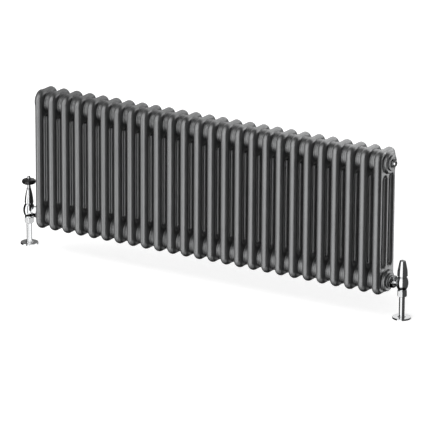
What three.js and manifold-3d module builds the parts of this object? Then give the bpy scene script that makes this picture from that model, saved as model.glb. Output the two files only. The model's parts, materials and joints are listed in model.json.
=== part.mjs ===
// A wall-hung three-column steel radiator with a thermostatic valve, a lockshield valve and their floor fittings.
// Millimetres, +Z up. X runs along the radiator, -Y is the room side and Z = 0 is the finished floor.
import * as THREE from "three";
import { mergeVertices } from "three/addons/utils/BufferGeometryUtils.js";
import Module from "manifold-3d";

const wasm = await Module();
wasm.setup();

// Driving dimensions ------------------------------------------------------------------------------------------
const SECTIONS = 26;
const PITCH = 45; // from one section to the next
const HEIGHT = 425; // of a section
const FLOOR_GAP = 66; // under the sections
const TUBE = 25; // outer diameter of a column, and the thickness of a section
const COLUMN_SPACING = 37.5;
const DEPTH = 2 * COLUMN_SPACING + TUBE;
const CORNER = 28; // outer radius of a section's corners
const CHAMFER = 7.3; // turns the square edges of a section into eight-sided columns
const SLOT_INSET = 80; // from a section's end to the nearest end of its slots
const HUB_INSET = 38; // from a section's end to its hub's axis
const HUB_RADIUS = 30.6;
const GALLERY_RADIUS = 20; // water way through every hub
const GAP = 0.3; // between pieces that rest on each other

const FLANGE = 5; // thickness of an end bush's flange
const FLANGE_RADIUS = 22.4;
const HALF_THREAD = 10.4; // outer radius of a half-inch pipe thread
const PLUG_FLANGE = 12.5; // radius of the blanking and vent plugs' flanges
const VALVE_X = 626; // of both valves' axes
const BULB = 17.8; // radius of a valve's egg-shaped body at its widest
const BULB_STRETCH = 26 / 17.8; // height of the egg over its width
const BULB_MIDDLE = 1; // height of its widest point over the valve's centre
const PIPE_WAY = 7.7; // radius of the way that a 15 mm pipe takes
const WATER_WAY = 6.8; // radius of the bore from a valve to the radiator
const SLEEVE_RADIUS = 8.3;
const ROSETTE_RADIUS = 27;
const HEX_UNION = 32; // across flats
const HEX_COMPRESSION = 26.5; // across flats
const HEX_KEY = 10; // across flats of the blanking plug's socket

const HUB_Z = FLOOR_GAP + HUB_INSET; // height of the valves' centres
const TOP_HUB_Z = FLOOR_GAP + HEIGHT - HUB_INSET;
const HUB_FACE_X = ((SECTIONS - 1) * PITCH) / 2 + PITCH / 2 - GAP / 2;
const HUB_FACE = VALVE_X - HUB_FACE_X; // from a valve's axis to the hub's face
const FLOOR = -HUB_Z; // the floor, seen from a valve's centre

// Materials ---------------------------------------------------------------------------------------------------
const material = (color, roughness, metalness) => new THREE.MeshStandardMaterial({ color, roughness, metalness });
const paint = material(0x5a5b5d, 0.45, 0.1);
const chrome = material(0xd9dadc, 0.08, 1);
const brass = material(0xb8944a, 0.3, 1);
const steel = material(0x9a9da0, 0.3, 1);
const rubber = material(0x1c1c1c, 0.8, 0);
const blackGloss = material(0x141414, 0.2, 0);

// Solids ------------------------------------------------------------------------------------------------------
function solid(geometry) {
  const bare = geometry.clone();
  for (const name of Object.keys(bare.attributes)) if (name !== "position") bare.deleteAttribute(name);
  const merged = mergeVertices(bare, 1e-4);
  return new wasm.Manifold(
    new wasm.Mesh({
      numProp: 3,
      vertProperties: new Float32Array(merged.attributes.position.array),
      triVerts: new Uint32Array(merged.index.array),
    }),
  );
}

function geometryOf(manifold) {
  const mesh = manifold.getMesh();
  return new THREE.BufferGeometry()
    .setAttribute("position", new THREE.BufferAttribute(new Float32Array(mesh.vertProperties), 3))
    .setIndex(new THREE.BufferAttribute(new Uint32Array(mesh.triVerts), 1));
}

const join = (first, ...others) => others.reduce((all, next) => all.add(next), first);
const cut = (first, ...others) => others.reduce((all, next) => all.subtract(next), first);

// A closed outline of [radius, height] corners, turned about Z. Either direction round the outline will do.
function turned(outline, sides = 16) {
  const area = outline.reduce((sum, [r, z], i) => {
    const [nextR, nextZ] = outline[(i + 1) % outline.length];
    return sum + r * nextZ - nextR * z;
  }, 0);
  const ring = (area > 0 ? outline : [...outline].reverse()).map(([r, z]) => new THREE.Vector2(r, z));
  ring.push(ring[0].clone());
  return new THREE.LatheGeometry(ring, sides).rotateX(Math.PI / 2);
}

const disc = (radius, bottom, top, sides = 16) =>
  turned([[0, bottom], [radius, bottom], [radius, top], [0, top]], sides);

const hexagon = (acrossFlats, bottom, top) => disc(acrossFlats / Math.sqrt(3), bottom, top, 6);

const box = (x, y, z) => new THREE.BoxGeometry(x, y, z);

// The same solid with its Z axis laid along +X.
const alongX = (geometry) => geometry.rotateY(Math.PI / 2);

// Points along a circle about (x, y), from one angle to another.
function arc(radius, x, y, from, to, steps) {
  return Array.from({ length: steps + 1 }, (_, i) => {
    const angle = from + ((to - from) * i) / steps;
    return new THREE.Vector2(x + radius * Math.cos(angle), y + radius * Math.sin(angle));
  });
}

const root = new THREE.Group();
root.name = "radiator_with_valves";

function add(parent, name, shape, look) {
  const geometry = shape.isBufferGeometry ? shape : geometryOf(shape);
  const mesh = new THREE.Mesh(geometry, look);
  mesh.name = name;
  parent.add(mesh);
  return mesh;
}

function group(parent, x, y, z, turn = 0) {
  const made = new THREE.Group();
  made.position.set(x, y, z);
  made.rotation.z = turn;
  parent.add(made);
  return made;
}

// Radiator sections -------------------------------------------------------------------------------------------
// One section stands on z = 0 about x = 0: three columns between two headers, with a hub through each header.
function sectionSolid() {
  const [endY, endZ] = [DEPTH / 2 - CORNER, HEIGHT / 2 - CORNER];
  const corners = [[1, 1], [-1, 1], [-1, -1], [1, -1]].flatMap(([y, z], i) =>
    arc(CORNER, y * endY, HEIGHT / 2 + z * endZ, (i * Math.PI) / 2, ((i + 1) * Math.PI) / 2, 3),
  );
  const outline = new THREE.Shape(corners);

  const slotRadius = (COLUMN_SPACING - TUBE) / 2;
  const slotEnd = HEIGHT / 2 - SLOT_INSET - slotRadius;
  for (const y of [-COLUMN_SPACING / 2, COLUMN_SPACING / 2]) {
    const top = arc(slotRadius, y, HEIGHT / 2 + slotEnd, 0, Math.PI, 3);
    const bottom = arc(slotRadius, y, HEIGHT / 2 - slotEnd, Math.PI, 2 * Math.PI, 3);
    outline.holes.push(new THREE.Path([...top, ...bottom]));
  }

  const plate = new THREE.ExtrudeGeometry(outline, {
    depth: TUBE - 2 * CHAMFER,
    steps: 1,
    bevelEnabled: true,
    bevelSegments: 1,
    bevelSize: CHAMFER,
    bevelThickness: CHAMFER,
    bevelOffset: -CHAMFER,
  });
  plate.translate(0, 0, -(TUBE - 2 * CHAMFER) / 2);
  const axes = new THREE.Matrix4().makeBasis(
    new THREE.Vector3(0, 1, 0),
    new THREE.Vector3(0, 0, 1),
    new THREE.Vector3(1, 0, 0),
  );
  let body = solid(plate.applyMatrix4(axes));

  const reach = PITCH / 2 - GAP / 2;
  for (const z of [HUB_INSET, HEIGHT - HUB_INSET]) {
    const hub = alongX(disc(HUB_RADIUS, -reach, reach, 12)).translate(0, 0, z);
    const gallery = alongX(disc(GALLERY_RADIUS, -PITCH, PITCH, 8)).translate(0, 0, z);
    body = body.add(solid(hub)).subtract(solid(gallery));
  }
  return geometryOf(body);
}

function buildSections() {
  const shared = sectionSolid();
  for (let i = 0; i < SECTIONS; i++) {
    const section = add(root, `section_${String(i + 1).padStart(2, "0")}`, shared.clone(), paint);
    section.position.set((i - (SECTIONS - 1) / 2) * PITCH, 0, FLOOR_GAP);
  }
}

// End fittings ------------------------------------------------------------------------------------------------
// Each is built along +X from the hub's face, which is at x = 0, with -X running into the radiator.
function bushSolid() {
  const inside = 18;
  const shank = 18; // clears the flats of the gallery
  const outer = turned([[0, -inside], [shank, -inside], [shank, GAP], [FLANGE_RADIUS, GAP],
    [FLANGE_RADIUS, FLANGE + GAP - 1], [FLANGE_RADIUS - 1, FLANGE + GAP], [0, FLANGE + GAP]]);
  const thread = disc(HALF_THREAD + 0.7, -inside - 1, FLANGE + 2, 12);
  return geometryOf(cut(solid(alongX(outer)), solid(alongX(thread))));
}

function endGroup(side, z) {
  return group(root, side * HUB_FACE_X, 0, z, side > 0 ? 0 : Math.PI);
}

function buildEndFittings() {
  const face = FLANGE + 2 * GAP;
  add(endGroup(-1, HUB_Z), "trv_end_bush", bushSolid(), paint);
  add(endGroup(1, HUB_Z), "lockshield_end_bush", bushSolid(), paint);

  const blankEnd = endGroup(-1, TOP_HUB_Z);
  add(blankEnd, "blank_end_bush", bushSolid(), paint);
  const plug = turned([[0, -10], [HALF_THREAD, -10], [HALF_THREAD, face], [PLUG_FLANGE, face],
    [PLUG_FLANGE, face + 3], [PLUG_FLANGE - 1, face + 4], [9.5, face + 4], [8.6, face + 6], [0, face + 6]]);
  const socket = hexagon(HEX_KEY, face - 1, face + 8);
  add(blankEnd, "blanking_plug", cut(solid(alongX(plug)), solid(alongX(socket))), chrome);

  const ventEnd = endGroup(1, TOP_HUB_Z);
  add(ventEnd, "vent_end_bush", bushSolid(), paint);
  const vent = turned([[0, -10], [HALF_THREAD, -10], [HALF_THREAD, face], [PLUG_FLANGE, face],
    [PLUG_FLANGE, face + 3], [PLUG_FLANGE - 1, face + 4], [7, face + 4], [7, face + 9], [0, face + 9]]);
  const ventWay = turned([[0, -12], [1.8, -12], [1.8, face - 6], [4.3, face - 3], [4.3, face + 12],
    [0, face + 12]], 12);
  add(ventEnd, "vent_plug", cut(solid(alongX(vent)), solid(alongX(ventWay))), chrome);

  const screw = turned([[0, face - 4.6], [3.8, face - 2], [3.8, face + 4], [0, face + 4]], 12);
  const square = alongX(box(5, 5, 6)).translate(face + 6, 0, 0);
  add(ventEnd, "bleed_screw", join(solid(alongX(screw)), solid(square)), chrome);
}

// Valves ------------------------------------------------------------------------------------------------------
// A valve is built about its own centre, with +X running to the radiator and Z = FLOOR at the floor.
const NECK_END = 28; // of the body's threaded neck
const NUT_START = 22;
const NUT_END = 35;
const SPOUT_END = -29; // of the body's threaded foot
const COMPRESSION_TOP = -20.3;
const COMPRESSION_BOTTOM = -38;
const COLLAR = 12.1; // radius of the body's top and bottom collars
const COLLAR_TOP = 21;
const SEAT = -7.1; // height that the valve closes at

function bodySolid() {
  const outer = turned([
    [0, SPOUT_END], [HALF_THREAD, SPOUT_END], [HALF_THREAD, -20], [COLLAR, -20],
    ...arc(BULB, 0, 0, -0.82, 0.82, 5).map(({ x, y }) => [x, BULB_MIDDLE + y * BULB_STRETCH]),
    [COLLAR, COLLAR_TOP], [0, COLLAR_TOP],
  ], 14);
  const neck = alongX(turned([[0, 0], [HALF_THREAD, 0], [HALF_THREAD, NUT_START - 1], [12.8, NUT_START - 1],
    [12.8, NECK_END], [0, NECK_END]]));
  const inlet = turned([[0, SPOUT_END - 2], [PIPE_WAY, SPOUT_END - 2], [PIPE_WAY, -16], [5.5, -14],
    [5.5, SEAT], [9, SEAT], [9, 6], [10.2, 6], [10.2, COLLAR_TOP + 2], [0, COLLAR_TOP + 2]]);
  const outlet = alongX(disc(WATER_WAY, 2, NECK_END + 2, 10));
  return geometryOf(cut(join(solid(outer), solid(neck)), solid(inlet), solid(outlet)));
}

function unionNutSolid() {
  const hex = alongX(hexagon(HEX_UNION, NUT_START, NUT_END));
  const shoulder = alongX(turned([[0, NUT_START], [15, NUT_START], [18.6, NUT_START + 3], [18.6, NUT_END - 2],
    [17.4, NUT_END], [0, NUT_END]], 12));
  const thread = alongX(turned([[0, NUT_START - 1], [13.6, NUT_START - 1], [13.6, 31.3], [10.7, 31.3],
    [10.7, NUT_END + 1], [0, NUT_END + 1]], 12));
  return geometryOf(cut(solid(hex).intersect(solid(shoulder)), solid(thread)));
}

function tailSolid() {
  const end = HUB_FACE + 14;
  const outer = turned([[0, NECK_END + GAP], [12.4, NECK_END + GAP], [12.4, 31], [HALF_THREAD - 0.4, 31],
    [HALF_THREAD - 0.4, end], [0, end]], 12);
  const waterWay = disc(WATER_WAY, NECK_END - 1, end + 1, 10);
  return geometryOf(cut(solid(alongX(outer)), solid(alongX(waterWay))));
}

function compressionNutSolid() {
  const hex = hexagon(HEX_COMPRESSION, COMPRESSION_BOTTOM, COMPRESSION_TOP).rotateZ(Math.PI / 6);
  const round = turned([[0, COMPRESSION_BOTTOM], [13.2, COMPRESSION_BOTTOM], [14.9, COMPRESSION_BOTTOM + 2],
    [14.9, COMPRESSION_TOP - 2], [13.2, COMPRESSION_TOP], [0, COMPRESSION_TOP]], 12);
  const inside = turned([[0, COMPRESSION_BOTTOM - 1], [PIPE_WAY, COMPRESSION_BOTTOM - 1], [PIPE_WAY, -35.6],
    [HALF_THREAD + GAP, -35.6], [HALF_THREAD + GAP, COMPRESSION_TOP + 1], [0, COMPRESSION_TOP + 1]]);
  return geometryOf(cut(solid(hex).intersect(solid(round)), solid(inside)));
}

function buildFoot(valve, prefix) {
  add(valve, `${prefix}_compression_nut`, compressionNutSolid(), chrome);
  const olive = turned([[PIPE_WAY, -35.2], [9, -35.2], [9.8, -32.3], [9, -29.4], [PIPE_WAY, -29.4]]);
  add(valve, `${prefix}_olive`, olive, brass);
  const sleeve = turned([[PIPE_WAY, FLOOR + 1], [SLEEVE_RADIUS, FLOOR + 1],
    [SLEEVE_RADIUS, COMPRESSION_BOTTOM - GAP], [PIPE_WAY, COMPRESSION_BOTTOM - GAP]]);
  add(valve, `${prefix}_sleeve`, sleeve, chrome);
  const hole = SLEEVE_RADIUS + GAP;
  const rosette = turned([[hole, FLOOR], [ROSETTE_RADIUS, FLOOR], [ROSETTE_RADIUS, FLOOR + 3.6],
    [ROSETTE_RADIUS - 1.4, FLOOR + 5], [11.5, FLOOR + 5], [10.8, FLOOR + 6.6], [hole, FLOOR + 6.6]], 20);
  add(valve, `${prefix}_rosette`, rosette, chrome);
}

function buildConnection(valve, prefix) {
  add(valve, `${prefix}_body`, bodySolid(), chrome);
  add(valve, `${prefix}_union_nut`, unionNutSolid(), chrome);
  add(valve, `${prefix}_tail`, tailSolid(), chrome);
}

// A compression spring of round wire about Z.
function springGeometry(radius, wire, bottom, top, turns) {
  class Helix extends THREE.Curve {
    getPoint(t) {
      const angle = 2 * Math.PI * turns * t;
      const climb = bottom + wire + (top - bottom - 2 * wire) * t;
      return new THREE.Vector3(radius * Math.cos(angle), radius * Math.sin(angle), climb);
    }
  }
  const wireSection = new THREE.Shape();
  for (let i = 0; i < 5; i++) {
    const angle = (i * 2 * Math.PI) / 5;
    const [x, y] = [wire * Math.cos(angle), wire * Math.sin(angle)];
    if (i) wireSection.lineTo(x, y);
    else wireSection.moveTo(x, y);
  }
  return new THREE.ExtrudeGeometry(wireSection, { steps: 10 * turns, bevelEnabled: false, extrudePath: new Helix() });
}

const WHEEL_BOTTOM = 82.5;
const WHEEL_TOP = 96.5; // of the rim
const WHEEL_CROWN = 98.4; // of the middle
const WHEEL_RADIUS = 21.2;
const STEM_SHOULDER = 85.2; // that the wheel sits on
const STEM_TENON = 3; // radius of the stem inside the wheel

function wheelSolid() {
  const rim = turned([[0, STEM_SHOULDER + GAP], [10, STEM_SHOULDER + GAP], [13.5, WHEEL_BOTTOM + 0.7],
    [17, WHEEL_BOTTOM], [20.2, WHEEL_BOTTOM + 2.8], [WHEEL_RADIUS, WHEEL_BOTTOM + 7], [20.2, WHEEL_TOP - 2.8],
    [17, WHEEL_TOP], [12, WHEEL_TOP + 0.8], [6.5, WHEEL_CROWN], [0, WHEEL_CROWN]], 20);
  const bore = disc(STEM_TENON + GAP, WHEEL_BOTTOM - 2, WHEEL_CROWN + 2, 12);
  return cut(solid(rim), solid(bore));
}

function buildThermostaticValve() {
  const valve = group(root, -VALVE_X, 0, HUB_Z);
  buildConnection(valve, "trv");
  buildFoot(valve, "trv");

  const insert = turned([[2.2, 4.5], [7, 4.5], [7, 6 + GAP], [9.8, 6 + GAP], [9.8, 17], [6, 17],
    [6, 26], [2.2, 26]], 12);
  add(valve, "trv_insert", insert, brass);
  add(valve, "trv_pin", join(solid(disc(1.8, -3, 31, 10)), solid(disc(5, -2.4, -1.2, 14))), steel);
  add(valve, "trv_washer", turned([[2.1, -5.6], [7.6, -5.6], [7.6, -2.7], [2.1, -2.7]]), rubber);
  add(valve, "trv_spring", springGeometry(3.6, 0.5, -0.9, 4.2, 3.5), steel);

  const bell = turned([
    [9, 27], [9, COLLAR_TOP + GAP], [12, COLLAR_TOP + GAP], [13.5, 24], [13.2, 28], [12.5, 37], [11, 47],
    [9.5, 56], [7.2, 64], [6.5, 66], [6.5, 69], [5.6, 70], [4.5, 70], [4.5, 61], [6.8, 58], [6.8, 33],
  ]);
  add(valve, "trv_head_shell", bell, chrome);
  add(valve, "trv_sensor", turned([[0, 31.3], [5, 31.3], [6.2, 34], [6.2, 54], [5, 56], [0, 56]], 12), brass);

  const stem = turned([[0, 58], [3.9, 58], [3.9, 70 + GAP], [5.8, 70 + GAP], [5.8, 72], [5, 74], [5, 80],
    [5.8, 83], [5.8, STEM_SHOULDER], [STEM_TENON, STEM_SHOULDER], [STEM_TENON, WHEEL_CROWN], [0, WHEEL_CROWN]], 14);
  add(valve, "trv_stem", stem, chrome);
  add(valve, "trv_wheel", wheelSolid(), blackGloss);
  const button = turned([[0, 98.8], [6, 98.8], [6, 100.4], [4.6, 101.8], [4.6, 104], [2.8, 106], [0, 106.5]], 14);
  add(valve, "trv_wheel_cap", button, chrome);
}

function buildLockshieldValve() {
  const valve = group(root, VALVE_X, 0, HUB_Z, Math.PI);
  buildConnection(valve, "lockshield");
  buildFoot(valve, "lockshield");

  const bonnet = turned([[3.4, 8], [9.8, 8], [9.8, 20.5], [8.4, 20.5], [8.4, 31], [3.4, 31]], 12);
  add(valve, "lockshield_bonnet", bonnet, brass);
  const stem = disc(3.1, -0.3, 38, 12);
  const flat = box(5, 5, 9).translate(0, 0, 42);
  add(valve, "lockshield_spindle", join(solid(stem), solid(flat)), brass);
  const plug = turned([[0, -5.2], [6.5, -5.2], [7.4, -3.6], [7.4, 4], [3.4, 4], [3.4, -3.2], [0, -3.2]], 12);
  add(valve, "lockshield_plug", plug, brass);

  const cap = turned([[9.6, COLLAR_TOP + GAP], [13.4, COLLAR_TOP + GAP], [15.4, 23.5], [14.8, 36], [13.3, 45],
    [11.6, 54], [9.4, 64], [8, 67.6], [4, 69], [0, 69.2], [0, 66.5], [7, 63], [12.8, 30], [12.8, 24]]);
  add(valve, "lockshield_cap", cap, chrome);
}

buildSections();
buildEndFittings();
buildThermostaticValve();
buildLockshieldValve();

export default root;
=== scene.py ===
"""Looks of a wall-hung column radiator and its two valves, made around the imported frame.

Metres in the frame's own axes: +Z up, X along the radiator, -Y towards the room, floor at Z = 0.
Outlines are written in millimetres and scaled once, where they become a mesh.
"""
import json
import math

import bpy
from mathutils import Matrix, Vector
from mathutils.geometry import tessellate_polygon


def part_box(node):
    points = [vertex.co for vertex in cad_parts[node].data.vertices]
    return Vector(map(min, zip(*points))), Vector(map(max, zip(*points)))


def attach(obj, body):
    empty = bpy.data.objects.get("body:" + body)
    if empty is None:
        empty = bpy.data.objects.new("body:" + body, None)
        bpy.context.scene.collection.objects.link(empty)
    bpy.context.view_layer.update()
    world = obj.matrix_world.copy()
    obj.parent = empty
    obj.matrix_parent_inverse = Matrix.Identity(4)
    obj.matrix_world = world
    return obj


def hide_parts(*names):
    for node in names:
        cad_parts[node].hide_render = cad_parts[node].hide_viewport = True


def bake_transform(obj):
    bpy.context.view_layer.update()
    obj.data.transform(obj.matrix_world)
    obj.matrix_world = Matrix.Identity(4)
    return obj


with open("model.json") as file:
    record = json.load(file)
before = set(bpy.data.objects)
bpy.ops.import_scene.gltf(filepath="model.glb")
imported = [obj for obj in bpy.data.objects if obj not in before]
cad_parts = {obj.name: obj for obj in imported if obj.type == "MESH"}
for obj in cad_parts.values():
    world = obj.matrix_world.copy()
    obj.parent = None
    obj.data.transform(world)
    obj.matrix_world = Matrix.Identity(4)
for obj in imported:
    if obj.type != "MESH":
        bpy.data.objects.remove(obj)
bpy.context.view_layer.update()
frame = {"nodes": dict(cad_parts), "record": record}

MM = 0.001

# Driving sizes, in millimetres, read from the frame where it holds them -------------------------------------


def box_mm(node):
    low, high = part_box(node)
    return low / MM, high / MM


SECTIONS = sorted(name for name in frame["nodes"] if name.startswith("section_"))
FIRST_LOW, FIRST_HIGH = box_mm(SECTIONS[0])
LAST_LOW, LAST_HIGH = box_mm(SECTIONS[-1])
PITCH = (LAST_LOW.x - FIRST_LOW.x) / (len(SECTIONS) - 1)
DEPTH = FIRST_HIGH.y - FIRST_LOW.y
HEIGHT = FIRST_HIGH.z - FIRST_LOW.z
FLOOR_GAP = FIRST_LOW.z
TUBE = 25.0  # diameter of a column, and the thickness of a section
SLOT_RADIUS = (DEPTH - 3 * TUBE) / 4  # half of the gap between two of the three columns
SLOT_INSET = 80.0  # from a section's end to the nearest end of its slots
CORNER = 28.0
HUB_INSET = 38.0  # from a section's end to its hub's axis
HUB_RADIUS = 31.0
HUB_REACH = (FIRST_HIGH.x - FIRST_LOW.x) / 2  # from a section's middle to its hub's face
GALLERY = 20.0  # radius of the water way through the hubs
HALF_KEY = 5.0  # half of a 10 mm hexagonal key

ROSETTE_LOW, ROSETTE_HIGH = box_mm("lockshield_rosette")
VALVE_X = (ROSETTE_LOW.x + ROSETTE_HIGH.x) / 2  # of both valves' axes, either way from the middle
HUB_Z = FLOOR_GAP + HUB_INSET  # height of the valves' centres
TOP_HUB_Z = FLOOR_GAP + HEIGHT - HUB_INSET
HUB_FACE = LAST_HIGH.x
FLOOR = -HUB_Z  # the floor, seen from a valve's centre


# Outlines ---------------------------------------------------------------------------------------------------


def arc(radius, x, y, start, end, steps):
    """Points on a circle about (x, y), between two angles in degrees."""
    angles = [math.radians(start + (end - start) * i / steps) for i in range(steps + 1)]
    return [(x + radius * math.cos(a), y + radius * math.sin(a)) for a in angles]


def rounded(corners, steps=5):
    """A closed outline of (radius, height[, fillet]) corners, with each filleted corner drawn as an arc."""
    outline = []
    count = len(corners)
    for i, corner in enumerate(corners):
        point = Vector(corner[:2])
        fillet = corner[2] if len(corner) > 2 else 0
        if not fillet:
            outline.append(tuple(point))
            continue
        to_last = (Vector(corners[i - 1][:2]) - point).normalized()
        to_next = (Vector(corners[(i + 1) % count][:2]) - point).normalized()
        half = to_last.angle(to_next) / 2
        centre = point + (to_last + to_next).normalized() * (fillet / math.sin(half))
        reach = fillet / math.tan(half)
        start, end = point + to_last * reach - centre, point + to_next * reach - centre
        turn = start.angle_signed(end)
        for k in range(steps + 1):
            angle = -turn * k / steps
            outline.append(tuple(centre + Matrix.Rotation(angle, 2) @ start))
    return outline


def flowing(points, steps=6):
    """A smooth open curve through the points."""
    ends = [Vector(points[0]) * 2 - Vector(points[1]), Vector(points[-1]) * 2 - Vector(points[-2])]
    knots = [ends[0], *map(Vector, points), ends[1]]
    curve = []
    for a, b, c, d in zip(knots, knots[1:], knots[2:], knots[3:]):
        slope, bend, twist = c - a, 2 * a - 5 * b + 4 * c - d, 3 * b - a - 3 * c + d
        for k in range(steps):
            t = k / steps
            curve.append(tuple(0.5 * (2 * b + slope * t + bend * t**2 + twist * t**3)))
    curve.append(tuple(points[-1]))
    return curve


# Meshes -----------------------------------------------------------------------------------------------------


def joined(*parts):
    """Several (vertices, faces) pairs as one."""
    vertices, faces = [], []
    for part_vertices, part_faces in parts:
        start = len(vertices)
        vertices += part_vertices
        faces += [tuple(start + i for i in face) for face in part_faces]
    return vertices, faces


def moved(part, matrix):
    vertices, faces = part
    return [matrix @ Vector(v) for v in vertices], faces


def turned(outline, sides=64, flat=None, corners=6, swell=None):
    """A closed outline of (radius, height) turned about Z.

    With flat, it is cut to a prism of that half width. swell(angle, radius, height) may add to the radius.
    """
    area = sum(a[0] * b[1] - b[0] * a[1] for a, b in zip(outline, [*outline[1:], outline[0]]))
    if area > 0:
        outline = outline[::-1]
    vertices, faces, rings = [], [], []
    for radius, height in outline:
        if radius < 1e-6:
            rings.append([len(vertices)] * sides)
            vertices.append((0, 0, height))
            continue
        rings.append(range(len(vertices), len(vertices) + sides))
        for k in range(sides):
            angle = 2 * math.pi * k / sides
            reach = radius
            if flat:
                off = (angle + math.pi / corners) % (2 * math.pi / corners) - math.pi / corners
                reach = min(radius, flat / math.cos(off))
            if swell:
                reach += swell(angle, radius, height)
            vertices.append((reach * math.cos(angle), reach * math.sin(angle), height))
    for low, high in zip(rings, [*rings[1:], rings[0]]):
        for k in range(sides):
            face = [low[k], high[k], high[(k + 1) % sides], low[(k + 1) % sides]]
            face = [v for i, v in enumerate(face) if v != face[i - 1]]
            if len(face) > 2:
                faces.append(tuple(face))
    return vertices, faces


def helix(coil, wire, turns, low, high, sides=12, steps=168):
    """A round wire wound about Z, from one height of its middle line to another."""
    vertices = []
    for k in range(steps + 1):
        turn = 2 * math.pi * turns * k / steps
        lift = low + (high - low) * k / steps
        for j in range(sides):
            angle = 2 * math.pi * j / sides
            reach = coil + wire * math.cos(angle)
            vertices.append((reach * math.cos(turn), reach * math.sin(turn), lift + wire * math.sin(angle)))
    faces = [tuple(range(sides)), tuple(range(steps * sides, (steps + 1) * sides))[::-1]]
    for k in range(steps):
        for j in range(sides):
            a, b = k * sides + j, k * sides + (j + 1) % sides
            faces.append((a, a + sides, b + sides, b))
    return vertices, faces


def bare(name, vertices, faces):
    """A new object in the scene, from vertices in metres."""
    mesh = bpy.data.meshes.new(name)
    mesh.from_pydata(vertices, [], faces)
    made = bpy.data.objects.new(name, mesh)
    bpy.context.scene.collection.objects.link(made)
    return made


def shaped(name, part, slot, place, crease=28):
    """A smooth object from a mesh in millimetres, sharp past the crease angle, with its slot's material."""
    vertices, faces = moved(part, place)
    made = bare(name, [Vector(v) * MM for v in vertices], faces)
    made.data.shade_smooth()
    made.data.set_sharp_from_angle(angle=math.radians(crease))
    made.data.materials.append(LOOKS[slot])
    return made


def piece(name, part, slot, body, node, place):
    """Puts a mesh into the scene as one piece that rides on a body and stands in for a CAD node."""
    made = shaped(name, part, slot, place)
    normals = made.modifiers.new("flat faces stay flat", "WEIGHTED_NORMAL")
    normals.keep_sharp = True
    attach(made, body)
    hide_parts(node)


ALONG_X = Matrix.Rotation(math.pi / 2, 4, "Y")  # lays Z along +X


def at(x, y, z, turn=0):
    """A place in millimetres, turned about Z."""
    return Matrix.Translation((x, y, z)) @ Matrix.Rotation(turn, 4, "Z")


# Materials --------------------------------------------------------------------------------------------------


class Surface:
    """A Principled material and the few node patterns that this scene uses, sized in millimetres."""

    def __init__(self, name, roughness, metallic=0.0):
        self.material = bpy.data.materials.new(name)
        self.material.use_nodes = True
        self.nodes = self.material.node_tree.nodes
        self.links = self.material.node_tree.links
        self.shader = self.nodes["Principled BSDF"]
        self.shader.inputs["Metallic"].default_value = metallic
        self.shader.inputs["Roughness"].default_value = roughness
        self.place = self.nodes.new("ShaderNodeTexCoord").outputs["Object"]

    def noise(self, size_mm, detail=2, stretch=(1, 1, 1)):
        mapping = self.nodes.new("ShaderNodeMapping")
        mapping.inputs["Scale"].default_value = stretch
        noise = self.nodes.new("ShaderNodeTexNoise")
        noise.inputs["Scale"].default_value = 1000 / size_mm
        noise.inputs["Detail"].default_value = detail
        self.links.new(self.place, mapping.inputs["Vector"])
        self.links.new(mapping.outputs[0], noise.inputs["Vector"])
        return noise.outputs["Fac"]

    def spread(self, value, low, high, start=0.35, end=0.65):
        node = self.nodes.new("ShaderNodeMapRange")
        node.inputs["From Min"].default_value = start
        node.inputs["From Max"].default_value = end
        node.inputs["To Min"].default_value = low
        node.inputs["To Max"].default_value = high
        self.links.new(value, node.inputs["Value"])
        return node.outputs["Result"]

    def sum(self, first, second):
        node = self.nodes.new("ShaderNodeMath")
        node.operation = "ADD"
        self.links.new(first, node.inputs[0])
        self.links.new(second, node.inputs[1])
        return node.outputs[0]

    def colour(self, value, *stops):
        """Colours the surface by a ramp of (position, (r, g, b)) stops."""
        ramp = self.nodes.new("ShaderNodeValToRGB")
        elements = ramp.color_ramp.elements
        while len(elements) < len(stops):
            elements.new(0.5)
        for element, (position, rgb) in zip(elements, stops):
            element.position = position
            element.color = (*rgb, 1)
        self.links.new(value, ramp.inputs["Fac"])
        self.links.new(ramp.outputs["Color"], self.shader.inputs["Base Color"])

    def rough(self, value):
        self.links.new(value, self.shader.inputs["Roughness"])

    def bump(self, value, height_mm, strength=1.0):
        node = self.nodes.new("ShaderNodeBump")
        node.inputs["Distance"].default_value = height_mm * MM
        node.inputs["Strength"].default_value = strength
        self.links.new(value, node.inputs["Height"])
        self.links.new(node.outputs["Normal"], self.shader.inputs["Normal"])

    def set(self, socket, value):
        self.shader.inputs[socket].default_value = value


def grey(value, warmth=0.0):
    return (value * (1 + warmth), value, value * (1 - warmth))


def painted_steel():
    """Satin anthracite enamel: faint clouding, an orange-peel skin and uneven gloss."""
    paint = Surface("satin_anthracite_enamel", 0.34, 0.85)
    clouds = paint.noise(90, 3)
    specks = paint.noise(1.4, 2)
    paint.colour(
        paint.sum(paint.spread(clouds, 0.0, 0.7), paint.spread(specks, 0.0, 0.3)),
        (0.0, grey(0.150, -0.01)),
        (0.5, grey(0.160, -0.01)),
        (1.0, grey(0.170, -0.01)),
    )
    paint.rough(paint.spread(paint.noise(26, 3), 0.30, 0.38))
    skin = paint.sum(paint.spread(paint.noise(2.6, 1), 0.0, 1.0, 0.2, 0.8), paint.spread(specks, 0.0, 0.25))
    paint.bump(skin, 0.035)
    paint.set("Specular IOR Level", 0.55)
    return paint.material


def chrome_plate():
    """Bright chrome: buffing lines so fine that they only soften the gloss, and faint smears."""
    chrome = Surface("polished_chrome", 0.06, 1.0)
    smears = chrome.noise(14, 4)
    lines = chrome.noise(1.1, 2, (1, 1, 14))
    chrome.colour(smears, (0.3, grey(0.83, -0.012)), (0.7, grey(0.9, -0.008)))
    chrome.rough(chrome.sum(chrome.spread(smears, 0.03, 0.08), chrome.spread(lines, 0.0, 0.03)))
    chrome.bump(lines, 0.002)
    return chrome.material


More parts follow.
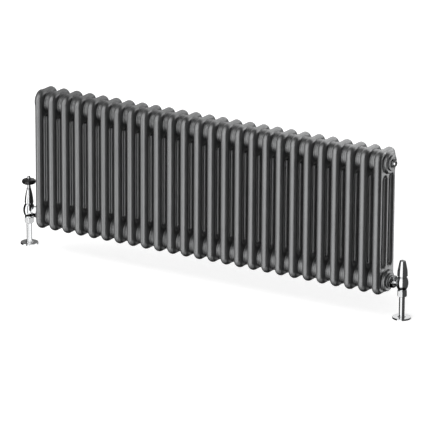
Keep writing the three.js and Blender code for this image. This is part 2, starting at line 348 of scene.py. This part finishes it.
def black_gloss():
    """Polished black moulding with a clear skin over very slight mottling."""
    black = Surface("polished_black", 0.22)
    mottle = black.noise(7, 3)
    black.colour(mottle, (0.3, grey(0.008)), (0.7, grey(0.016)))
    black.rough(black.spread(mottle, 0.14, 0.26))
    black.bump(black.noise(2.2, 1), 0.006)
    black.set("Coat Weight", 1.0)
    black.set("Coat Roughness", 0.05)
    return black.material


def machined_brass():
    """Turned brass with tool lines and darker, duller patches."""
    brass = Surface("machined_brass", 0.3, 1.0)
    tarnish = brass.noise(9, 4)
    lines = brass.noise(0.9, 2, (1, 1, 12))
    brass.colour(tarnish, (0.25, (0.50, 0.34, 0.13)), (0.55, (0.68, 0.49, 0.21)), (0.8, (0.76, 0.58, 0.28)))
    brass.rough(brass.sum(brass.spread(tarnish, 0.2, 0.36), brass.spread(lines, 0.0, 0.1)))
    brass.bump(lines, 0.012)
    return brass.material


def spring_steel():
    """Drawn wire, streaked along its length."""
    steel = Surface("drawn_steel", 0.28, 1.0)
    streaks = steel.noise(1.5, 3, (1, 1, 6))
    steel.colour(streaks, (0.3, grey(0.42)), (0.7, grey(0.56)))
    steel.rough(steel.spread(streaks, 0.2, 0.38))
    steel.bump(streaks, 0.006)
    return steel.material


def moulded_rubber():
    """Matt black rubber with a fine grain."""
    rubber = Surface("moulded_rubber", 0.8)
    grain = rubber.noise(0.8, 3)
    rubber.colour(grain, (0.3, grey(0.018)), (0.7, grey(0.03)))
    rubber.rough(rubber.spread(grain, 0.7, 0.9))
    rubber.bump(grain, 0.02)
    return rubber.material


LOOKS = {
    "painted_steel": painted_steel(),
    "chrome": chrome_plate(),
    "black_gloss": black_gloss(),
    "brass": machined_brass(),
    "spring_steel": spring_steel(),
    "rubber": moulded_rubber(),
}


# Radiator sections ------------------------------------------------------------------------------------------


def loop_outer(inset, steps=12):
    """The section's outline in Y and Z, moved inwards."""
    y, z = DEPTH / 2 - CORNER, HEIGHT / 2 - CORNER
    quarters = [(y, z, 0), (-y, z, 90), (-y, -z, 180), (y, -z, 270)]
    loop = []
    for cy, cz, start in quarters:
        loop += arc(CORNER - inset, cy, cz + HEIGHT / 2, start, start + 90, steps)
    return loop


def loop_slot(y, inset, steps=14):
    """A slot's outline, moved into the metal around it."""
    reach = HEIGHT / 2 - SLOT_INSET - SLOT_RADIUS
    radius = SLOT_RADIUS + inset
    top = arc(radius, y, HEIGHT / 2 + reach, 0, 180, steps)
    bottom = arc(radius, y, HEIGHT / 2 - reach, 180, 360, steps)
    return top + bottom


def pressed_shell():
    """Three round columns and their headers: every edge of the outline and of both slots is a half round."""
    half = TUBE / 2
    slot_y = half + SLOT_RADIUS
    steps, last_lean = 9, 88.5  # a little short of 90 degrees, so that the flat caps keep some width
    lean = [last_lean * i / steps for i in range(-steps, steps + 1)]
    vertices, faces, caps = [], [], ([], [])
    makers = [loop_outer] + [lambda inset, y=y: loop_slot(y, inset) for y in (-slot_y, slot_y)]
    for maker in makers:
        rings = []
        for angle in lean:
            inset = half * (1 - math.cos(math.radians(angle)))
            x = half * math.sin(math.radians(angle))
            loop = maker(inset)
            rings.append(range(len(vertices), len(vertices) + len(loop)))
            vertices += [(x, y, z) for y, z in loop]
        for low, high in zip(rings, rings[1:]):
            count = len(low)
            for k in range(count):
                face = (low[k], low[(k + 1) % count], high[(k + 1) % count], high[k])
                faces.append(face if maker is loop_outer else face[::-1])
        caps[0].append(list(rings[0]))
        caps[1].append(list(rings[-1]))
    for side, loops in enumerate(caps):
        flat = [i for loop in loops for i in loop]
        outlines = [[Vector((*vertices[i][1:], 0)) for i in loop] for loop in loops]
        for triangle in tessellate_polygon(outlines):
            a, b, c = (flat[i] for i in triangle)
            (_, y0, z0), (_, y1, z1), (_, y2, z2) = vertices[a], vertices[b], vertices[c]
            outward = (y1 - y0) * (z2 - z0) - (y2 - y0) * (z1 - z0) > 0
            faces.append((a, b, c) if outward == (side == 1) else (a, c, b))
    return vertices, faces


def hub(rim):
    """The round boss between two sections, turned about X, with its outer edge rounded by rim."""
    wall = TUBE / 2  # the boss starts a little inside the section's flat side
    corners = [
        (GALLERY, wall - 2),
        (HUB_RADIUS + 3, wall - 2),
        (HUB_RADIUS + 3, wall - 0.1),
        (HUB_RADIUS, wall - 0.1, 2.6),
        (HUB_RADIUS, HUB_REACH, rim),
        (GALLERY, HUB_REACH, 0.4),
    ]
    return moved(turned(rounded(corners), 72), ALONG_X)


def weld(seed):
    """A ring of weld over the joint of two hubs, under the paint, with its ripples."""
    ring = arc(1.15, HUB_RADIUS - 0.35, 0, 0, 360, 10)[:-1]

    def ripple(angle, radius, height):
        return 0.10 * math.sin(58 * angle + seed) + 0.12 * math.sin(7 * angle + 2 * seed)

    return moved(turned(ring, 180, swell=ripple), ALONG_X)


def build_sections():
    """Every section with its four hubs. The free hubs at both ends of the row have a rounder rim."""
    shell = pressed_shell()
    mirror = Matrix.Diagonal((-1, 1, 1, 1))
    free_rim, welded_rim = 3.0, 0.7
    last = len(SECTIONS) - 1
    for i, node in enumerate(SECTIONS):
        parts = [shell]
        for z in (HUB_INSET, HEIGHT - HUB_INSET):
            lift = Matrix.Translation((0, 0, z))
            right = hub(free_rim if i == last else welded_rim)
            left = hub(free_rim if i == 0 else welded_rim)
            vertices, faces = moved(left, lift @ mirror)
            parts += [moved(right, lift), (vertices, [face[::-1] for face in faces])]
            if i < last:
                parts.append(moved(weld(i + z), Matrix.Translation((PITCH / 2, 0, z))))
        x = FIRST_LOW.x + HUB_REACH + i * PITCH
        piece(f"skin_{node}", joined(*parts), "painted_steel", "radiator", node, at(x, 0, FLOOR_GAP))


# End fittings -----------------------------------------------------------------------------------------------


def end_place(side, z):
    """The face of an end hub, with Z pointing away from the radiator."""
    return at(side * HUB_FACE, 0, z, 0 if side > 0 else math.pi) @ ALONG_X


def bush():
    """A painted end bush: a stepped round flange with a groove round its threaded hole."""
    corners = [
        (11.1, -17),
        (17.9, -17, 1),
        (17.9, 0.4),
        (22.4, 0.4, 0.5),
        (22.4, 4.4, 1.3),
        (17.6, 5.3, 0.6),
        (17.0, 4.2, 0.6),
        (14.6, 4.2, 0.6),
        (14.2, 5.2, 0.5),
        (11.1, 5.2, 0.5),
    ]
    return turned(rounded(corners), 96)


def build_end_fittings():
    ends = [("trv", -1, HUB_Z), ("lockshield", 1, HUB_Z), ("blank", -1, TOP_HUB_Z), ("vent", 1, TOP_HUB_Z)]
    for name, side, z in ends:
        casting = f"{name}_bush_casting"
        piece(casting, bush(), "painted_steel", "radiator", f"{name}_end_bush", end_place(side, z))

    shank = [(0, -9.5), (10.2, -9.5, 0.6), (10.2, 5.7)]
    blank = shank + [
        (12.4, 5.7, 0.3), (12.4, 8.6, 0.7), (9.6, 9.4, 0.5), (8.7, 9.6, 0.3), (8.5, 11.5, 0.8),
        (5.7, 11.5), (5.7, 4.8), (0, 4.8),
    ]

    def hexagonal(angle, radius, height):
        """Cuts the plug's socket to six flats."""
        off = (angle + math.pi / 6) % (math.pi / 3) - math.pi / 6
        return min(0, HALF_KEY / math.cos(off) - radius) if radius < 6 else 0

    plug = turned(rounded(blank), 72, swell=hexagonal)
    piece("blanking_plug_turned", plug, "chrome", "radiator", "blanking_plug", end_place(-1, TOP_HUB_Z))

    vent = [
        (1.8, -9.5), (10.2, -9.5, 0.6), (10.2, 5.7),
        (12.5, 5.7, 0.3), (12.5, 8.4, 0.6), (9.2, 9.0, 0.4), (7.4, 9.2, 0.5), (7.0, 14.4, 1.0),
        (4.4, 14.4, 0.3), (4.4, 2.8), (1.8, 0.6),
    ]
    top_right = end_place(1, TOP_HUB_Z)
    piece("vent_plug_turned", turned(rounded(vent), 72), "chrome", "radiator", "vent_plug", top_right)

    screw = joined(
        turned(rounded([(0, 1.2), (3.7, 3.7, 0.4), (3.7, 9.4, 0.5), (0, 9.4)]), 48),
        turned(rounded([(0, 9.2), (3.4, 9.2), (3.4, 14.2, 0.5), (0, 14.2)]), 48, flat=2.5, corners=4),
    )
    piece("bleed_screw_turned", screw, "chrome", "bleed_screw", "bleed_screw", top_right)


# Valves -----------------------------------------------------------------------------------------------------

# Radii, from a valve's axis or from its neck's, with heights from the valve's centre.
BULB = 17.8  # of the egg-shaped body at its widest
BULB_STRETCH = 26 / 17.8  # height of the egg over its width
BULB_MIDDLE = 1.0  # height of its widest place
THROAT = 12.1  # where the egg ends above and below
NECK = 10.4
PIPE_WAY = 7.7  # the way of a 15 mm pipe
SLEEVE = 8.3
UNION_FLAT = 16.0  # half of the nuts' widths across their flats
COMPRESSION_FLAT = 13.25


def valve_body():
    """An egg with a collar above and below it, and a flared neck towards the radiator."""
    rise = math.degrees(math.acos(THROAT / BULB))
    egg = [(r, BULB_MIDDLE + z * BULB_STRETCH) for r, z in arc(BULB, 0, 0, -rise, rise, 40)]
    collar = rounded([(THROAT, 20), (THROAT, 20.9, 0.4), (10.3, 20.9), (10.3, 17)])[1:-1]
    foot = [(10.3, 8), (PIPE_WAY, -10), (PIPE_WAY, -28.6), (NECK, -28.6), (NECK, -20.3), (THROAT, -20.3)]

    flare = arc(3, NECK + 3, math.sqrt((BULB + 3) ** 2 - (NECK + 3) ** 2), 180, 220, 8)
    neck = [(NECK, 8), *flare[::-1]]
    neck += rounded([(NECK, 20.6), (12.6, 20.6, 0.6), (12.6, 28, 0.4), (6.8, 28), (6.8, 8)])
    return joined(turned([*egg, *collar, *foot], 96), moved(turned(neck, 72), ALONG_X))


def union_nut():
    """The nut between body and bush, with both ends chamfered."""
    chamfer = [(16.4 + 0.45 * i, 22.0 + 0.4 * i) for i in range(6)]
    far = [(r, 57.0 - z) for r, z in reversed(chamfer)]
    ring = [(12.9, 22.6), (13.4, 22.0), *chamfer, *far, (13.4, 35), (12.9, 34.4)]
    return moved(turned(ring, 144, flat=UNION_FLAT), ALONG_X)


def compression_nut():
    """The nut under the body, chamfered at both ends and turned so that a flat faces the room."""
    top, bottom = -20.3, -38.0
    chamfer = [(13.1 + 0.34 * i, top - 0.34 * i) for i in range(6)]
    foot = [(r, bottom + top - z) for r, z in reversed(chamfer)]
    ring = [(10.6, top - 0.5), (11.1, top), *chamfer, *foot, (9.4, bottom), (8.8, bottom + 0.6)]
    return moved(turned(ring, 144, flat=COMPRESSION_FLAT), Matrix.Rotation(math.pi / 6, 4, "Z"))


def sleeve():
    """The tube round the pipe, from the floor up to the compression nut."""
    foot, top = FLOOR + 1, -38.4
    return turned(rounded([(PIPE_WAY, foot), (SLEEVE, foot), (SLEEVE, top, 0.2), (PIPE_WAY, top, 0.2)]), 72)


def rosette():
    """The floor cover: a thick disc with a rounded edge and a low collar round the sleeve."""
    corners = [
        (8.6, FLOOR + 0.05),
        (26.9, FLOOR + 0.05, 0.3),
        (26.9, FLOOR + 4.9, 1.5),
        (11.6, FLOOR + 4.9, 0.5),
        (10.9, FLOOR + 6.5, 0.6),
        (8.6, FLOOR + 6.5, 0.3),
    ]
    return turned(rounded(corners), 128)


def olive():
    """The ring that the compression nut squeezes onto the pipe."""
    corners = [(PIPE_WAY, -35.1), (9, -35.1, 0.3), (9.8, -32.3, 1.2), (9, -29.5, 0.3), (PIPE_WAY, -29.5)]
    return turned(rounded(corners), 64)


def valve_tail():
    """The tube that the union nut holds against the body, screwed into the bush."""
    corners = [(6.8, 28.4), (12.3, 28.4, 0.4), (12.3, 30.9, 0.4), (9.9, 30.9), (9.9, 54.6, 0.5), (6.8, 54.6)]
    return moved(turned(rounded(corners), 64), ALONG_X)


def build_valve(prefix, place):
    """What both valves share: body, connection to the radiator, and the foot down to the floor."""
    rows = [
        ("body", valve_body(), "chrome"),
        ("union_nut", union_nut(), "chrome"),
        ("tail", valve_tail(), "chrome"),
        ("compression_nut", compression_nut(), "chrome"),
        ("olive", olive(), "brass"),
        ("sleeve", sleeve(), "chrome"),
        ("rosette", rosette(), "chrome"),
    ]
    for name, part, slot in rows:
        piece(f"{prefix}_{name}_finished", part, slot, "radiator", f"{prefix}_{name}", place)


def head_shell():
    """The thermostatic valve's tapered cover."""
    flank = flowing([(13.4, 24.6), (13.3, 28), (12.5, 37), (11.0, 47), (9.4, 56), (7.3, 64)])
    inside = [(4.5, 69.8), (4.5, 61), (6.8, 58), (6.8, 33), (9, 27), (9, 21.4)]
    foot = rounded([(9, 21.4), (12, 21.4, 0.4), (13.0, 22.6, 0.6), (12.9, 23.6, 0.3)])[1:]
    neck = rounded([(7.0, 65), (7.4, 65.6, 0.4), (7.4, 67.4, 0.4), (6.4, 68.2, 0.3), (5.6, 69.8, 0.4)])
    return turned(foot + flank + neck + inside, 96)


def wheel_stem():
    """The stem between cover and wheel, with a bead above and below its waist."""
    corners = [
        (0, 58.1), (3.9, 58.1), (3.9, 70.4), (5.8, 70.4, 0.5), (5.8, 72.2, 0.5), (5.0, 73.6, 0.8),
        (4.9, 80, 0.8), (5.8, 83, 0.8), (5.8, 85.1, 0.3), (3, 85.1), (3, 98.3), (0, 98.3),
    ]
    return turned(rounded(corners), 64)


def wheel():
    """The hand wheel: a fat round rim that rises gently to the middle, hollowed a little underneath."""
    rim = [(14.0 + 7.1 * x, 89.5 + 6.9 * y) for x, y in arc(1, 0, 0, -100, 96, 26)]
    under = flowing([(6.6, 85.7), (9.4, 85.5), (11.3, 84.0)])
    top = flowing([(12.0, 96.7), (10.0, 97.2), (7.8, 97.9), (6.2, 98.2)])
    return turned([(3.3, 85.7), *under, *rim, *top, (3.3, 98.2)], 128)


def wheel_cap():
    """The stepped button on the wheel."""
    corners = [
        (0, 98.9), (5.9, 98.9, 0.4), (5.9, 100.4, 0.8), (4.6, 101.6, 0.6),
        (4.6, 104.2, 1.2), (2.8, 106.2, 1.2), (0, 106.4),
    ]
    return turned(rounded(corners), 64)


def build_spring(place):
    """The spring that lifts the washer: its top rests in the body."""
    wound = helix(coil=3.6, wire=0.49, turns=3.5, low=-0.4, high=3.7)
    spring = shaped("trv_plunger_spring", wound, "spring_steel", place, crease=40)
    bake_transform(spring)
    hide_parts("trv_spring")


def build_thermostatic_valve():
    place = at(-VALVE_X, 0, HUB_Z)
    build_valve("trv", place)
    build_spring(place)
    piece("trv_head", head_shell(), "chrome", "radiator", "trv_head_shell", place)
    piece("trv_spindle", wheel_stem(), "chrome", "trv_wheel", "trv_stem", place)
    piece("trv_hand_wheel", wheel(), "black_gloss", "trv_wheel", "trv_wheel", place)
    piece("trv_wheel_button", wheel_cap(), "chrome", "trv_wheel", "trv_wheel_cap", place)


def shield_cap():
    """The lockshield's hollow, tapered cap."""
    flank = flowing([(15.2, 24.4), (14.8, 36), (13.3, 45), (11.6, 54), (9.6, 63)])
    foot = rounded([(9.6, 21.5), (13.4, 21.5, 0.5), (15.3, 23.4, 0.8), (15.2, 24.4)])[1:-1]
    crown = rounded([(9.6, 63), (8.6, 67.4, 1.6), (4, 69.0, 3), (0, 69.1)])[1:]
    inside = [(0, 66.5), (7, 63), (12.8, 30), (12.8, 24), (9.6, 21.5)]
    return turned(foot + flank + crown + inside, 96)


def bonnet():
    """The brass gland round the spindle, with the thread that the cap screws onto."""
    crest, root, pitch, start = 8.4, 7.9, 0.9, 21.4
    thread = []
    for k in range(9):
        thread += [(crest, start + pitch * k), (root, start + pitch * (k + 0.5))]
    barrel = [(3.4, 8), (9.7, 8), (9.7, 20.3), (crest, 20.3)]
    return turned([*barrel, *thread, (crest, 29.6), (8.0, 30.8), (3.4, 30.8)], 72)


def lockshield_spindle():
    """A round spindle with a square end for a key."""
    return joined(
        turned(rounded([(0, -0.2), (3.1, -0.2), (3.1, 38, 0.4), (0, 38)]), 48),
        turned(rounded([(0, 37), (3.3, 37), (3.3, 46.4, 0.5), (0, 46.4)]), 48, flat=2.5, corners=4),
    )


def build_lockshield_valve():
    place = at(VALVE_X, 0, HUB_Z, math.pi)
    build_valve("lockshield", place)
    spindle = lockshield_spindle()
    piece("lockshield_cover", shield_cap(), "chrome", "lockshield_cap", "lockshield_cap", place)
    piece("lockshield_gland", bonnet(), "brass", "radiator", "lockshield_bonnet", place)
    piece("lockshield_key_spindle", spindle, "brass", "lockshield_spindle", "lockshield_spindle", place)


def dress_plain_nodes():
    """CAD nodes that are still shown get their slot's material."""
    slots = {row["node"]: row["material_slot"] for row in frame["record"]["subparts"]}
    for name, node in frame["nodes"].items():
        if node.hide_render:
            continue
        node.data.materials.clear()
        node.data.materials.append(LOOKS[slots[name]])


# Stage ------------------------------------------------------------------------------------------------------

# The photograph's viewpoint: angles in degrees, distance and aim in metres, lens in millimetres.
CAMERA_AZIMUTH = 30.34
CAMERA_ELEVATION = 18.57
CAMERA_ROLL = 0.34
CAMERA_DISTANCE = 11.863
CAMERA_LENS = 338.4
AIM = Vector((-0.0017, 0.0418, 0.1761))


def around(azimuth, elevation):
    """The direction from the object to a viewer at that azimuth and elevation, in degrees."""
    a, e = math.radians(azimuth), math.radians(elevation)
    return Vector((math.sin(a) * math.cos(e), -math.cos(a) * math.cos(e), math.sin(e)))


def build_camera():
    data = bpy.data.cameras.new("camera")
    data.lens = CAMERA_LENS
    data.sensor_width = 36
    data.clip_end = 100
    camera = bpy.data.objects.new("camera", data)
    bpy.context.scene.collection.objects.link(camera)
    back = around(CAMERA_AZIMUTH, CAMERA_ELEVATION)
    camera.rotation_mode = "QUATERNION"
    camera.location = AIM + back * CAMERA_DISTANCE
    roll = Matrix.Rotation(math.radians(CAMERA_ROLL), 3, "Z")
    camera.rotation_quaternion = ((-back).to_track_quat("-Z", "Y").to_matrix() @ roll).to_quaternion()
    bpy.context.scene.camera = camera


def build_floor():
    """A pale floor. The light that it would throw back is part of the world's lower half."""
    size = 40
    corners = [(-size, -size, 0), (size, -size, 0), (size, size, 0), (-size, size, 0)]
    floor = bare("floor", corners, [(0, 1, 2, 3)])
    pale = Surface("pale_floor", 0.9)
    pale.colour(pale.noise(400, 2), (0.3, grey(0.93)), (0.7, grey(0.95)))
    pale.set("Emission Color", (1, 1, 1, 1))
    pale.set("Emission Strength", 0.5)
    floor.data.materials.append(pale.material)
    floor.visible_glossy = False
    floor.visible_diffuse = False


def light_sheet(name, edges, strength, pieces, fade=None):
    """A light panel between pairs of low and high points, that lights only some pieces and hides nothing.

    With fade, its light grows along X from nothing at the first place to its strength at the second.
    """
    faces = [(2 * k - 2, 2 * k, 2 * k + 1, 2 * k - 1) for k in range(1, len(edges))]
    panel = bare(name, [point for edge in edges for point in edge], faces)
    glow = bpy.data.materials.new(name)
    glow.use_nodes = True
    nodes, links = glow.node_tree.nodes, glow.node_tree.links
    nodes.remove(nodes["Principled BSDF"])
    kinds = ("Emission", "BsdfTransparent", "AddShader")
    emission, clear, both = (nodes.new(f"ShaderNode{kind}") for kind in kinds)
    emission.inputs["Strength"].default_value = strength
    if fade:
        split, grow = nodes.new("ShaderNodeSeparateXYZ"), nodes.new("ShaderNodeMapRange")
        grow.inputs["From Min"].default_value, grow.inputs["From Max"].default_value = fade
        grow.inputs["To Max"].default_value = strength
        links.new(nodes.new("ShaderNodeTexCoord").outputs["Object"], split.inputs[0])
        links.new(split.outputs["X"], grow.inputs["Value"])
        links.new(grow.outputs[0], emission.inputs["Strength"])
    links.new(emission.outputs[0], both.inputs[0])
    links.new(clear.outputs[0], both.inputs[1])
    links.new(both.outputs[0], nodes["Material Output"].inputs["Surface"])
    panel.data.materials.append(glow)
    panel.visible_camera = False
    panel.visible_shadow = False
    lit = bpy.data.collections.new(f"lit_by_{name}")
    for made in pieces:
        lit.objects.link(made)
    panel.light_linking.receiver_collection = lit


def far_sheet(name, bearings, heights, strength, pieces, radius=8.0):
    """A curved light panel between two bearings to the right of the camera.

    Panels that overlap stand at different radii, since light is lost where two coincide.
    """
    steps = 12
    start, end = (CAMERA_AZIMUTH + bearing for bearing in bearings)
    turns = [start + (end - start) * k / steps for k in range(steps + 1)]
    feet = [around(turn, 0) * radius for turn in turns]
    light_sheet(name, [[(foot.x, foot.y, height) for height in heights] for foot in feet], strength, pieces)


def build_flag(name, corners):
    """A dark screen that only polished surfaces show, and only the ones on its front side."""
    flag = bare(name, corners, [(0, 1, 2, 3)])
    cloth = Surface("flag_cloth", 0.9)
    cloth.colour(cloth.noise(30), (0.3, grey(0.01)), (0.7, grey(0.02)))
    kinds = ("BsdfTransparent", "MixShader", "NewGeometry")
    clear, both, face = (cloth.nodes.new(f"ShaderNode{kind}") for kind in kinds)
    cloth.links.new(face.outputs["Backfacing"], both.inputs["Fac"])
    cloth.links.new(cloth.shader.outputs[0], both.inputs[1])
    cloth.links.new(clear.outputs[0], both.inputs[2])
    cloth.links.new(both.outputs[0], cloth.nodes["Material Output"].inputs["Surface"])
    flag.data.materials.append(cloth.material)
    flag.visible_camera = False
    flag.visible_diffuse = False
    flag.visible_shadow = False


def build_flags():
    """One flag in front of the left valve draws its outlines, and one is painted shade that darkens the
    radiator's end in it.
    """
    left, right, y, low, high = -0.80, -0.55, -1.0, -0.7, 1.1
    build_flag("outline_flag", [(left, y, low), (left, y, high), (right, y, high), (right, y, low)])
    # A dark sheet over the radiator's left end: painted shade, seen where the valve reflects that end.
    x, front, back, low, high = -0.592, -0.052, 0.054, 0.1, 0.494
    build_flag("end_shade_flag", [(x, front, low), (x, front, high), (x, back, high), (x, back, low)])


def build_panels():
    """Panels that light the paint, and others that give each valve the photograph's reflections."""
    meshes = [made for made in bpy.context.scene.collection.objects if made.type == "MESH"]
    shown = [made for made in meshes if made.data.materials]

    def made_of(slot, *starts):
        found = [made for made in shown if made.data.materials[0] == LOOKS[slot]]
        return [made for made in found if made.name.startswith(starts)] if starts else found

    painted = made_of("painted_steel")
    right_end = made_of("painted_steel", f"skin_{SECTIONS[-1]}", "lockshield_", "vent_")
    row = [made for made in painted if made not in right_end]
    left_nut = made_of("chrome", "trv_compression_nut")
    left_sleeve = made_of("chrome", "trv_sleeve")
    left_valve = [made for made in made_of("chrome", "trv_") if made not in left_nut + left_sleeve]
    right_foot = made_of("chrome", "lockshield_compression_nut", "lockshield_sleeve")
    right_rosette = made_of("chrome", "lockshield_rosette")

    far_sheet("front_panel", (-112, -3), (-5, 13), 1.1, painted)
    far_sheet("end_panel", (90, 127), (-4, 4), 2.3, right_end, 7.7)
    far_sheet("row_panel", (90, 127), (-4, 4), 0.7, row, 7.1)
    far_sheet("top_panel", (110, 230), (1.5, 12), 0.1, painted)
    far_sheet("low_panel", (-112, 60), (-30, -5), 0.8, painted)
    far_sheet("side_panel", (-3, 120), (-7, 9), 1.2, left_valve)
    far_sheet("sleeve_panel", (-3, 98), (-7, 9), 1.1, left_sleeve, 8.6)
    far_sheet("nut_panel", (-3, 120), (-7, 9), 0.6, left_nut, 8.9)
    far_sheet("left_panel", (-84, -56), (-9, 10), 1.2, painted + left_valve + left_sleeve, 8.3)
    far_sheet("left_nut_panel", (-84, -56), (-9, 10), 0.8, left_nut + right_foot, 9.2)
    far_sheet("back_panel", (165, 200), (-7, 1), 1.0, painted, 6.8)
    far_sheet("rosette_panel", (150, 210), (1, 6), 0.56, right_rosette, 7.4)
    # Near enough to brighten the tops of the sections from one end of the radiator to the other.
    left, right, y, low, high = -0.85, 0.9, 0.4, 0.52, 1.3
    edges = [[(x, y, z) for z in (low, high)] for x in (right, left)]
    light_sheet("near_panel", edges, 1.8, painted, (left, 0.7))


# Light levels all round: bearings are degrees to the right of the camera, and heights run from -1, straight
# down, to 1, straight up. Polished metal sees the first pair, with a bright side left of the camera that ends
# sharply on both hands, which draws the valves' dark edges. Everything is lit softly by the second pair.
REFLECTED_SIDES = [
    (-180, 0.16), (-155, 0.05), (-125, 0.01), (-61.5, 0.005), (-57, 1.0), (-4, 1.0), (1, 0.058), (90, 0.05),
    (138, 0.058), (146, 0.5), (168, 0.5), (180, 0.16),
]
REFLECTED_HEIGHTS = [(-1, 0.02), (-0.78, 0.03), (-0.63, 0.9), (0, 1.0), (0.45, 1.0), (0.7, 0.6), (1, 0.45)]
SOFT_SIDES = [
    (-180, 0.3), (-110, 1.0), (-50, 1.0), (-10, 0.6), (30, 0.12), (100, 0.12), (150, 0.3), (180, 0.3),
]
SOFT_HEIGHTS = [(-1, 0.05), (-0.3, 0.15), (0, 0.8), (0.5, 1.0), (1, 1.2)]
REFLECTED_STRENGTH = 1.25
SOFT_STRENGTH = 1.6


def build_world():
    """A studio all round: what gloss reflects, what lights everything softly, and a white backdrop."""
    world = bpy.data.worlds.new("studio")
    world.use_nodes = True
    bpy.context.scene.world = world
    nodes, links = world.node_tree.nodes, world.node_tree.links
    place = nodes.new("ShaderNodeTexCoord").outputs["Generated"]

    def math_node(operation, first, second):
        node = nodes.new("ShaderNodeMath")
        node.operation = operation
        for socket, value in zip(node.inputs, (first, second)):
            if isinstance(value, (int, float)):
                socket.default_value = value
            else:
                links.new(value, socket)
        return node.outputs[0]

    def along(direction):
        node = nodes.new("ShaderNodeVectorMath")
        node.operation = "DOT_PRODUCT"
        links.new(place, node.inputs[0])
        node.inputs[1].default_value = direction
        return node.outputs["Value"]

    def ramp_of(value, stops):
        node = nodes.new("ShaderNodeValToRGB")
        elements = node.color_ramp.elements
        while len(elements) < len(stops):
            elements.new(0.5)
        for element, (position, level) in zip(elements, stops):
            element.position = position
            element.color = (level, level, level, 1)
        links.new(value, node.inputs["Fac"])
        return node.outputs["Color"]

    towards, right = around(CAMERA_AZIMUTH, 0), around(CAMERA_AZIMUTH + 90, 0)
    bearing = math_node("ARCTAN2", along(right), along(towards))
    turn = math_node("ADD", math_node("DIVIDE", bearing, 2 * math.pi), 0.5)
    height = math_node("ADD", math_node("MULTIPLY", along((0, 0, 1)), 0.5), 0.5)

    def studio(sides, heights, strength):
        round_about = ramp_of(turn, [(degrees / 360 + 0.5, level) for degrees, level in sides])
        up_and_down = ramp_of(height, [(z / 2 + 0.5, level) for z, level in heights])
        background = nodes.new("ShaderNodeBackground")
        links.new(math_node("MULTIPLY", round_about, up_and_down), background.inputs["Color"])
        background.inputs["Strength"].default_value = strength
        return background.outputs[0]

    def choose(ray, usual, seen):
        mix = nodes.new("ShaderNodeMixShader")
        links.new(rays.outputs[ray], mix.inputs["Fac"])
        links.new(usual, mix.inputs[1])
        links.new(seen, mix.inputs[2])
        return mix.outputs[0]

    rays = nodes.new("ShaderNodeLightPath")
    soft = studio(SOFT_SIDES, SOFT_HEIGHTS, SOFT_STRENGTH)
    reflected = studio(REFLECTED_SIDES, REFLECTED_HEIGHTS, REFLECTED_STRENGTH)
    backdrop = nodes["Background"]
    backdrop.inputs["Color"].default_value = (1, 1, 1, 1)
    light = choose("Is Glossy Ray", soft, reflected)
    links.new(choose("Is Camera Ray", light, backdrop.outputs[0]), nodes["World Output"].inputs["Surface"])
    bpy.context.scene.view_settings.view_transform = "Standard"


build_camera()
build_floor()
build_world()
build_sections()
build_end_fittings()
build_thermostatic_valve()
build_lockshield_valve()
dress_plain_nodes()
build_panels()
build_flags()
